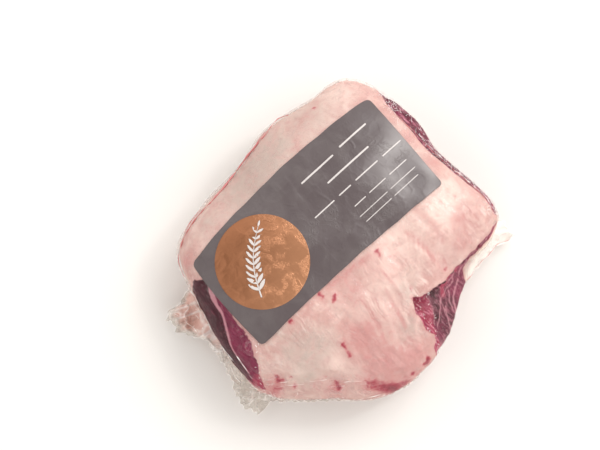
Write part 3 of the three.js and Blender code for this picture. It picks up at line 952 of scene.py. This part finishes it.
def loose_flap(turn, share):
    """One stretch of loose film as a grid of points, with how white and how stained it is; the white
    is cloudy film, and on crests and the rim a painted highlight.
    """
    body, drawn = outline_radius(turn), drawn_out(turn)
    radius = lerp(body * SKIRT_INSIDE, body - SKIRT_HIDDEN + drawn, share)
    ripple = np.sin(17 * turn + 2 * share) + 0.7 * np.sin(29 * turn - share)
    height = SKIRT_HEIGHT + share * drawn * (0.05 * ripple - SKIRT_DROOP)
    at = np.stack([radius * np.cos(turn), radius * np.sin(turn), height], 2).reshape(-1, 3)
    shape, turn, rim, out = turn.shape, turn.ravel(), share.ravel(), (share * drawn).ravel()
    loose = smoothstep(out, 6, 16)
    wrinkles = ridges(np.stack([turn * 97, 0.35 * out, 0 * out], 1), 7, 22)
    kinks = ridges(at, 5.5, 23)
    crumpled = 2.4 * noise(at, 11, 21) + 3.6 * (wrinkles - 0.5) + 2.2 * (kinks - 0.5)
    shift = np.stack([noise(at, 6, 24), noise(at, 6, 25), crumpled], 1)
    bearing = np.degrees(turn)
    tab = smoothstep(np.abs(bearing - 322), 20, 12)
    at = at + shift * (loose * (1 - 0.6 * tab))[:, None]
    at[:, 2] = np.maximum(at[:, 2], 0.6)

    pink = smoothstep(np.abs(bearing - 160), 20, 8) * smoothstep(rim, 1.0, 0.75)
    ragged_rim = smoothstep(rim, 0.9, 1) * smoothstep(noise(at, 4, 27), -0.3, 0.4)
    # Crests of the wrinkles and kinks and the ragged rim turn white: painted highlights.
    crests = np.max([smoothstep(wrinkles, 0.72, 0.98), smoothstep(kinks, 0.7, 0.98),
                     0.8 * ragged_rim], axis=0)
    cloud_and_glint_share = (0.06 + 0.55 * pink + 0.55 * tab + 0.2 * smoothstep(np.abs(bearing - 178), 14, 6)
             + (0.5 - 0.15 * pink) * crests * smoothstep(noise(at, 10, 28), -0.3, 0.4)
             * (1 - 0.7 * tab))
    stained = (0.12 + 0.85 * pink) * (1 - 0.6 * crests)
    return [values.reshape(*shape, -1)[:, ::-1] for values in (at, cloud_and_glint_share, stained)]


def make_flaps(crinkles):
    """The film that stands out round the belly, each stretch of it a thin crumpled sheet."""
    angle = np.linspace(0, math.tau, 1500, endpoint=False)
    shown = drawn_out(angle) > SKIRT_HIDDEN - 1
    first = int(np.argmin(shown))
    angle, shown = np.roll(angle, -first), np.roll(shown, -first)
    edges = np.flatnonzero(np.diff(shown.astype(int))) + 1
    grids, milk, stain = [], [], []
    for low, high in zip(edges[::2], edges[1::2]):
        grid, cloud_and_glint_share, stained = loose_flap(*np.meshgrid(angle[low:high], np.linspace(0.35, 1, 34)))
        grids.append(grid)
        milk += [cloud_and_glint_share.ravel()] * 2
        stain += [stained.ravel()] * 2
    points, faces = thin_solids(grids, LOOSE_THICKNESS)
    piece = make_piece("film_flaps", points, faces,
                       film_material("loose_film", crinkles, 0.35, (0.87, 0.855, 0.83)))
    give(piece, crumple=[0.9] * len(points), milk=np.concatenate(milk),
         bubbly=0.03 + 0.3 * smoothstep(noise(points, 9, 26), 0.15, 0.6),
         stain=np.concatenate(stain))
    declare(piece, "clear_film", "lamb_pack")
    return piece, [grid[-1] for grid in grids]


class Ground:
    """Heights of the film under the label, read from a grid of rays."""

    def __init__(self, film):
        tree = surface_of(film)
        self.x = np.arange(-86, 87)
        self.y = np.arange(-18, 73)
        hits = [[tree.ray_cast(Vector((x * MM, y * MM, RAY_START)), DOWN)[0]
                 for x in self.x.tolist()] for y in self.y.tolist()]
        self.z = np.array([[hit.z / MM if hit else BELLY for hit in row] for row in hits])
        for _ in range(3):
            padded = np.pad(self.z, 1, mode="edge")
            around = padded[:-2, 1:-1] + padded[2:, 1:-1] + padded[1:-1, :-2] + padded[1:-1, 2:]
            self.z = np.maximum(self.z * 0.5 + around * 0.125, self.z - 0.15)

    def height(self, x, y):
        column = np.clip(x - self.x[0], 0, len(self.x) - 1.001)
        row = np.clip(y - self.y[0], 0, len(self.y) - 1.001)
        i, j = column.astype(int), row.astype(int)
        low = lerp(self.z[j, i], self.z[j, i + 1], column - i)
        high = lerp(self.z[j + 1, i], self.z[j + 1, i + 1], column - i)
        return lerp(low, high, row - j)

    def label_top(self, x, y):
        """Height of the label's face, with its creases."""
        flat = np.stack([x.ravel(), y.ravel(), 0 * x.ravel()], 1)
        creases = 0.5 * np.maximum(0, ridges(flat, 9, 31) - 0.55) * (noise(flat, 16, 32) > -0.1)
        creases = creases + 0.25 * np.maximum(0, ridges(flat, 4, 33) - 0.6)
        wave = 0.25 * noise(flat, 12, 34)
        return self.height(x, y) + LABEL_LIFT + (creases + wave).reshape(x.shape)

    def on_label(self, x, y, lift=0.0):
        return np.stack([x, y, self.label_top(x, y) + lift], 2)


def rounded_grid(low_x, high_x, low_y, high_y, corner, columns, rows):
    """Points over a rectangle with round corners."""
    half_x, half_y = (high_x - low_x) / 2, (high_y - low_y) / 2
    a, b = np.meshgrid(np.linspace(-1, 1, columns), np.linspace(-1, 1, rows))
    b = np.sin(b * math.pi / 2) if rows < 12 else b
    y = b * half_y
    past = np.clip(np.abs(y) - (half_y - corner), 0, corner)
    reach = half_x - corner + np.sqrt(np.maximum(corner * corner - past * past, 0))
    return (low_x + high_x) / 2 + a * reach, (low_y + high_y) / 2 + y


def make_label(ground):
    low_x, high_x, low_y, high_y = (LABEL[key] for key in ("low_x", "high_x", "low_y", "high_y"))
    x, y = rounded_grid(low_x, high_x, low_y, high_y, LABEL["corner"], 320, 150)
    along, across = (x - low_x) / (high_x - low_x), (y - low_y) / (high_y - low_y)
    bulge = 1 - (2 * along - 1) ** 2
    x = x + LABEL["lean"] * across ** 3 * (1 - along)
    y = y + lerp(LABEL["low_bow"], LABEL["high_bow"], across) * bulge
    (ax, ay), (bx, by), (cx, cy), (dx, dy) = LABEL_CORNERS
    x = x + lerp(lerp(ax, bx, along), lerp(cx, dx, along), across)
    y = y + lerp(lerp(ay, by, along), lerp(cy, dy, along), across)
    near_edge = np.clip(6 * np.abs(across - 0.5) - 2, 0, 1)
    y = y + 0.25 * near_edge * np.sin(x / 4.7) * np.sin(x / 11 + 1)
    points, faces = thin_solids([ground.on_label(x, y)], LABEL_THICKNESS)
    piece = make_piece("label_sheet", points, faces, label_material())
    flat = points * [1, 1, 0]
    cloudy = 0.5 + 0.5 * noise(flat, 13, 36)
    # A painted reflection: lighter towards the high x end and the low side, in clouds.
    give(piece, crumple=smoothstep(noise(flat, 22, 35), -0.1, 0.5) + 0.2,
         sheen=0.9 * smoothstep(points[:, 0], 20, 80) * cloudy * smoothstep(points[:, 1], 62, 22))
    declare(piece, "label_paper", "label")


def make_disc(ground):
    u, v = np.meshgrid(np.linspace(-1, 1, 150), np.linspace(-1, 1, 150))
    cx, cy, radius = DISC
    x = cx + radius * u * np.sqrt(1 - v * v / 2)
    y = cy + radius * v * np.sqrt(1 - u * u / 2)
    points, faces = thin_solids([ground.on_label(x, y, FOIL_LIFT)], FOIL_THICKNESS)
    piece = make_piece("foil_disc", points, faces, foil_material())
    x, y, _ = points.T
    # across: how far towards the lit side, for the foil's painted reflection.
    give(piece, crumple=0.2 + 0.8 * smoothstep(x - 0.5 * y, -70, -20),
         across=((x - cx) * 0.6 - (y - cy) * 0.8) / radius)
    declare(piece, "label_paper", "label")


def make_print(ground, ink):
    grids = []
    for low_x, high_x, middle, height in PRINT_BARS:
        columns = max(8, int((high_x - low_x) / 0.7))
        x, y = rounded_grid(low_x, high_x, middle - height / 2, middle + height / 2,
                            height / 2 - 0.02, columns, 7)
        grids.append(ground.on_label(x, y, FOIL_LIFT))
    piece = make_piece("printed_bars", *thin_solids(grids, INK_THICKNESS), ink)
    declare(piece, "label_paper", "label")


def realised(piece, group, settings):
    """Runs a geometry group on a piece and keeps its result as the piece's own mesh."""
    modifier = piece.modifiers.new(group.name, "NODES")
    modifier.node_group = group
    for item in group.interface.items_tree:
        if item.name in settings:
            modifier[item.identifier] = settings[item.name]
    graph = bpy.context.evaluated_depsgraph_get()
    graph.update()
    mesh = bpy.data.meshes.new_from_object(piece.evaluated_get(graph))
    piece.modifiers.remove(modifier)
    piece.data = mesh


def repeat_group(name, scattered):
    """Sets a thing on every vertex, or scatters it over the faces where a mask allows."""
    group = bpy.data.node_groups.new(name, "GeometryNodeTree")
    for label, kind in (("Geometry", "Geometry"), ("Thing", "Object"), ("Material", "Material"),
                        ("Mask", "String"), ("Density", "Float"), ("Smallest", "Float"),
                        ("Largest", "Float"), ("Seed", "Int")):
        group.interface.new_socket(label, in_out="INPUT", socket_type="NodeSocket" + kind)
    group.interface.new_socket("Geometry", in_out="OUTPUT", socket_type="NodeSocketGeometry")
    tree = Tree(group)
    given = tree.add("NodeGroupInput").outputs
    thing = tree.add("GeometryNodeObjectInfo", Object=given["Thing"]).outputs["Geometry"]

    def stored(label, kind):
        node = tree.add("GeometryNodeInputNamedAttribute", {"data_type": kind}, Name=label)
        return node.outputs["Attribute"]

    def drawn(low, high):
        node = tree.add("FunctionNodeRandomValue", {"data_type": "FLOAT"}, Seed=given["Seed"])
        tree.feed(node.inputs[2], low)
        tree.feed(node.inputs[3], high)
        return node.outputs[1]

    if scattered:
        dense = tree.times(stored(given["Mask"], "FLOAT"), given["Density"])
        points = tree.add("GeometryNodeDistributePointsOnFaces", Mesh=given["Geometry"],
                          Density=dense, Seed=given["Seed"])
        about = tree.add("ShaderNodeCombineXYZ", Z=drawn(0.0, math.tau)).outputs[0]
        spin = tree.add("FunctionNodeEulerToRotation", Euler=about).outputs[0]
        turn = tree.ordered(tree.add("FunctionNodeRotateRotation", {"rotation_space": "LOCAL"}),
                            points.outputs["Rotation"], spin)
        where, scale = points.outputs["Points"], drawn(given["Smallest"], given["Largest"])
    else:
        facing = stored("facing", "FLOAT_VECTOR")
        turn = tree.add("FunctionNodeEulerToRotation", Euler=facing).outputs[0]
        where, scale = given["Geometry"], stored("size", "FLOAT")
    placed = tree.add("GeometryNodeInstanceOnPoints", Points=where, Instance=thing, Rotation=turn,
                      Scale=scale)
    whole = tree.add("GeometryNodeRealizeInstances", Geometry=placed.outputs[0])
    painted = tree.add("GeometryNodeSetMaterial", Geometry=whole.outputs[0],
                       Material=given["Material"])
    tree.add("NodeGroupOutput", Geometry=painted.outputs[0])
    return group


def make_flecks(film, flaps):
    """White flecks as painted glints of creased film, and fine white hairs of film that stand out,
    where it is crumpled most.
    """
    grain = bmesh.new()
    bmesh.ops.create_icosphere(grain, subdivisions=1, radius=1.0)
    spots = np.array([v.co[:] for v in grain.verts]) * [1.0, 0.22, 0.16]
    faces = [tuple(v.index for v in face.verts) for face in grain.faces]
    grain.free()
    # Pure white: painted glints, also used for the hairs.
    white = plain_material("film_glint", srgb(255, 252, 249), 0.2)
    fleck = make_piece("fleck", spots / MM, faces, white)
    along = np.linspace(0, 1, 8)
    path = np.stack([along, 0.2 * np.sin(4 * along), 0.9 * along * (1 - 0.45 * along)], 1)
    spots, faces = [], []
    add_tube(spots, faces, path, lerp(0.035, 0.012, along), sides=4)
    hair = make_piece("hair", np.vstack(spots) / MM, faces, white)
    group = repeat_group("scattered_on_film", True)
    for ground, thing, mask, density, smallest, largest, seed in (
            (film, fleck, "bubbly", 260000.0, 0.0002, 0.001, 5),
            (flaps, fleck, "bubbly", 260000.0, 0.0002, 0.001, 6),
            (film, hair, "hairy", 120000.0, 0.001, 0.0034, 7)):
        piece = ground.copy()
        piece.data = ground.data.copy()
        piece.name = ground.name + "_" + thing.name
        bpy.context.scene.collection.objects.link(piece)
        realised(piece, group, {"Thing": thing, "Material": white, "Mask": mask,
                                "Density": density, "Smallest": smallest, "Largest": largest,
                                "Seed": seed})
        declare(piece, "clear_film", "lamb_pack")
    for thing in (fleck, hair):
        bpy.data.objects.remove(thing)


def make_sprig(ground, ink):
    """A plain sprig of narrow leaves in pale ink on the disc."""
    (ax, ay), (bx, by) = SPRIG["start"], SPRIG["end"]
    length = math.hypot(bx - ax, by - ay)
    side = np.array([-(by - ay), bx - ax]) / length
    along = np.linspace(0, 1, 60)
    middle = (np.outer(1 - along, (ax, ay)) + np.outer(along, (bx, by))
              + np.outer(SPRIG["bend"] * np.sin(along * math.pi), side))
    width = lerp(0.5, 0.15, along)
    x, y = (np.stack([middle[:, i] + side[i] * k * width for k in (1, 0, -1)]) for i in (0, 1))
    solid = thin_solids([ground.on_label(x, y, STEM_LIFT)], STEM_THICKNESS)
    declare(make_piece("sprig_stem", *solid, ink), "label_paper", "label")

    a, b = np.meshgrid(np.linspace(0, 1, 17), np.linspace(-1, 1, 5))
    half = 0.15 * np.sin(a * math.pi) ** 0.8 + 0.004
    points, faces = thin_solids([np.stack([a, b * half, 0 * a], 2)], 0.006)
    leaf = make_piece("leaf", points / MM, faces, ink)

    at, facing, size = [], [], []
    for share in np.linspace(0.1, 1.0, SPRIG["pairs"]):
        x, y = (np.interp(share, along, middle[:, k]) for k in (0, 1))
        slope = SPRIG["bend"] * math.pi / length * math.cos(share * math.pi)
        heading = math.atan2(by - ay, bx - ax) + slope
        for way in ((0,) if share == 1 else (-1, 1)):
            angle = heading + way * math.radians(44)
            tip_x, tip_y = x + math.cos(angle) * SPRIG["leaf"], y + math.sin(angle) * SPRIG["leaf"]
            low, high = ground.label_top(np.array([x, tip_x]), np.array([y, tip_y]))
            at.append((x, y, low + LEAF_LIFT))
            facing.append((0, -math.atan2(high - low, SPRIG["leaf"]), angle))
            size.append(SPRIG["leaf"] * MM * lerp(1.05, 0.6, share) * (1 if way else 0.9))
    leaves = make_piece("sprig_leaves", at, [], ink)
    turns = leaves.data.attributes.new("facing", "FLOAT_VECTOR", "POINT")
    turns.data.foreach_set("vector", np.ravel(facing))
    give(leaves, size=size)
    realised(leaves, repeat_group("leaves_on_points", False), {"Thing": leaf, "Material": ink})
    bpy.data.objects.remove(leaf)
    declare(leaves, "label_paper", "label")


def make_creases(film, flaps, rims):
    """Thin pleats in the film, some with juice held in them, lying on its surface; the others, and the
    rims of the loose film, are pure white as a painted highlight.
    """
    ground = [surface_of(film), surface_of(flaps)]

    def height(x, y):
        hits = [tree.ray_cast(Vector((x * MM, y * MM, RAY_START)), DOWN)[0] for tree in ground]
        return max([hit.z / MM for hit in hits if hit] or [CREASE_LOWEST])

    def nearest(spot):
        hits = [tree.find_nearest(Vector(spot) * MM) for tree in ground]
        place, normal, _, _ = min(hits, key=lambda hit: hit[3])
        return place / MM + normal * 0.1

    random = np.random.default_rng(12)
    # The pale pleats and the rims are pure white: painted highlights of the creased film.
    for name, slot, even, creases, material in (
            ("pale_creases", "clear_film", 0.35, HIGHLIT_CREASES,
             plain_material("creased_film", srgb(255, 251, 247), 0.2)),
            ("juice_creases", "meat", 0.65, JUICE_CREASES,
             plain_material("meat_juice", srgb(200, 116, 116), 0.3))):
        points, faces = [], []
        for thickness, line in creases:
            spots = np.array(line, float)
            length = np.append(0, np.cumsum(np.hypot(*np.diff(spots, axis=0).T)))
            along = np.linspace(0, length[-1], max(8, int(length[-1] / 0.8)))
            x, y = (smoothed(np.interp(along, length, spots[:, k])) for k in (0, 1))
            x = x + 0.25 * np.sin(along / 1.7 + random.uniform(0, 6)) * (along > 1)
            y = y + 0.25 * np.sin(along / 1.3 + random.uniform(0, 6)) * (along > 1)
            z = smoothed(np.array([height(a, b) for a, b in zip(x.tolist(), y.tolist())]), 60)
            path = np.array([nearest(spot) for spot in zip(x.tolist(), y.tolist(), z.tolist())])
            path = np.stack([smoothed(path[:, k]) for k in range(3)], 1)
            swollen = np.sin(along / 4.1 + random.uniform(0, 6)) * np.sin(along / 1.9)
            swollen = np.maximum(0.08, even + (1.1 - even) * swollen)
            taper = np.minimum(1, np.minimum(along, length[-1] - along) / 2.5 + 0.08)
            add_tube(points, faces, path, thickness * swollen * taper)
        for rim in (rims if slot == "clear_film" else []):
            x, y, _ = rim.T
            loose = smoothstep(np.hypot(x, y) - outline_radius(np.arctan2(y, x)), 0, 3)
            uneven = 0.3 + 0.7 * np.maximum(0, noise(rim, 3, 51) + 0.3)
            add_tube(points, faces, rim, 0.04 + 0.26 * loose * uneven)
        declare(make_piece(name, np.vstack(points), faces, material), slot, "lamb_pack")


# The stage

def make_camera():
    data = bpy.data.cameras.new("camera")
    data.lens = LENS
    data.sensor_width = SENSOR
    camera = bpy.data.objects.new("camera", data)
    bpy.context.scene.collection.objects.link(camera)
    azimuth, elevation = math.radians(CAMERA_AZIMUTH), math.radians(CAMERA_ELEVATION)
    right = Vector((math.cos(azimuth), math.sin(azimuth), 0))
    back = Vector((math.sin(azimuth) * math.cos(elevation),
                   -math.cos(azimuth) * math.cos(elevation), math.sin(elevation)))
    up = back.cross(right)
    aim = (Vector((0, 0, BELLY))
           + right * (FRAME_MIDDLE[0] - FOOT_PIXEL[0]) * MM_PER_PIXEL
           + up * (FOOT_PIXEL[1] - FRAME_MIDDLE[1]) * MM_PER_PIXEL)
    distance = FRAME_WIDTH * MM_PER_PIXEL * LENS / SENSOR
    camera.location = (aim + back * distance) * MM
    camera.rotation_euler = back.to_track_quat("Z", "Y").to_euler()
    bpy.context.scene.camera = camera


def make_light(name, place, size, energy, colour=(1, 1, 1)):
    data = bpy.data.lights.new(name, "AREA")
    data.shape = "RECTANGLE"
    data.size, data.size_y = size
    data.energy = energy
    data.color = colour
    light = bpy.data.objects.new(name, data)
    light.location = place
    light.rotation_euler = Vector(place).to_track_quat("Z", "Y").to_euler()
    bpy.context.scene.collection.objects.link(light)


def make_stage():
    corners = [(-3000, -3000, 0), (3000, -3000, 0), (3000, 3000, 0), (-3000, 3000, 0)]
    floor = make_piece("floor", corners, [(0, 1, 2, 3)],
                       plain_material("floor", (0.83, 0.81, 0.782, 1), 0.9))
    world = bpy.data.worlds.new("world")
    bpy.context.scene.world = world
    world.use_nodes = True
    background = world.node_tree.nodes["Background"]
    tree = Tree(world.node_tree)
    way = tree.add("ShaderNodeTexCoord").outputs["Generated"]
    split = tree.add("ShaderNodeSeparateXYZ", Vector=way)
    overhead = tree.step(split.outputs["Z"], 0.7, 0.94, 0, -1.2)
    raised = tree.step(split.outputs["Z"], 0.05, 0.5, 1.0, 1.6)
    strength = tree.plus(tree.times(split.outputs["X"], 0.2, raised), overhead)
    tree.set(background, Color=(1.0, 0.975, 0.95, 1), Strength=strength)
    make_light("key", (0.75, 0.05, 0.95), (0.6, 0.5), 5)
    make_light("sparkle", (0.7, -0.15, 1.0), (0.1, 0.08), 1.0)
    bpy.context.scene.view_settings.view_transform = "Standard"


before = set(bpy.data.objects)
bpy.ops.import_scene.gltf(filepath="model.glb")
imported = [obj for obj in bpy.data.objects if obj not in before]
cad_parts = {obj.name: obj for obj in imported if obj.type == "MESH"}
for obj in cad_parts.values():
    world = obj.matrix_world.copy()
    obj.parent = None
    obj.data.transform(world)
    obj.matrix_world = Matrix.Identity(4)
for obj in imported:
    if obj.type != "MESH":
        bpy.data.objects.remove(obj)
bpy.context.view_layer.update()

u, v = skin_grid()
base = bare_skin(u, v)
outward = base - [0, 0, BELLY]
outward /= np.linalg.norm(outward, axis=1)[:, None]
crinkles = film_group()

relief, ends = make_meat(base, outward)
film = make_film(base, outward, relief, ends, crinkles)
flaps, rims = make_flaps(crinkles)
make_creases(film, flaps, rims)
make_flecks(film, flaps)
ground = Ground(film)
make_label(ground)
make_disc(ground)
ink = plain_material("pale_ink", srgb(205, 198, 195), 0.5)
make_print(ground, ink)
make_sprig(ground, ink)
make_camera()
make_stage()
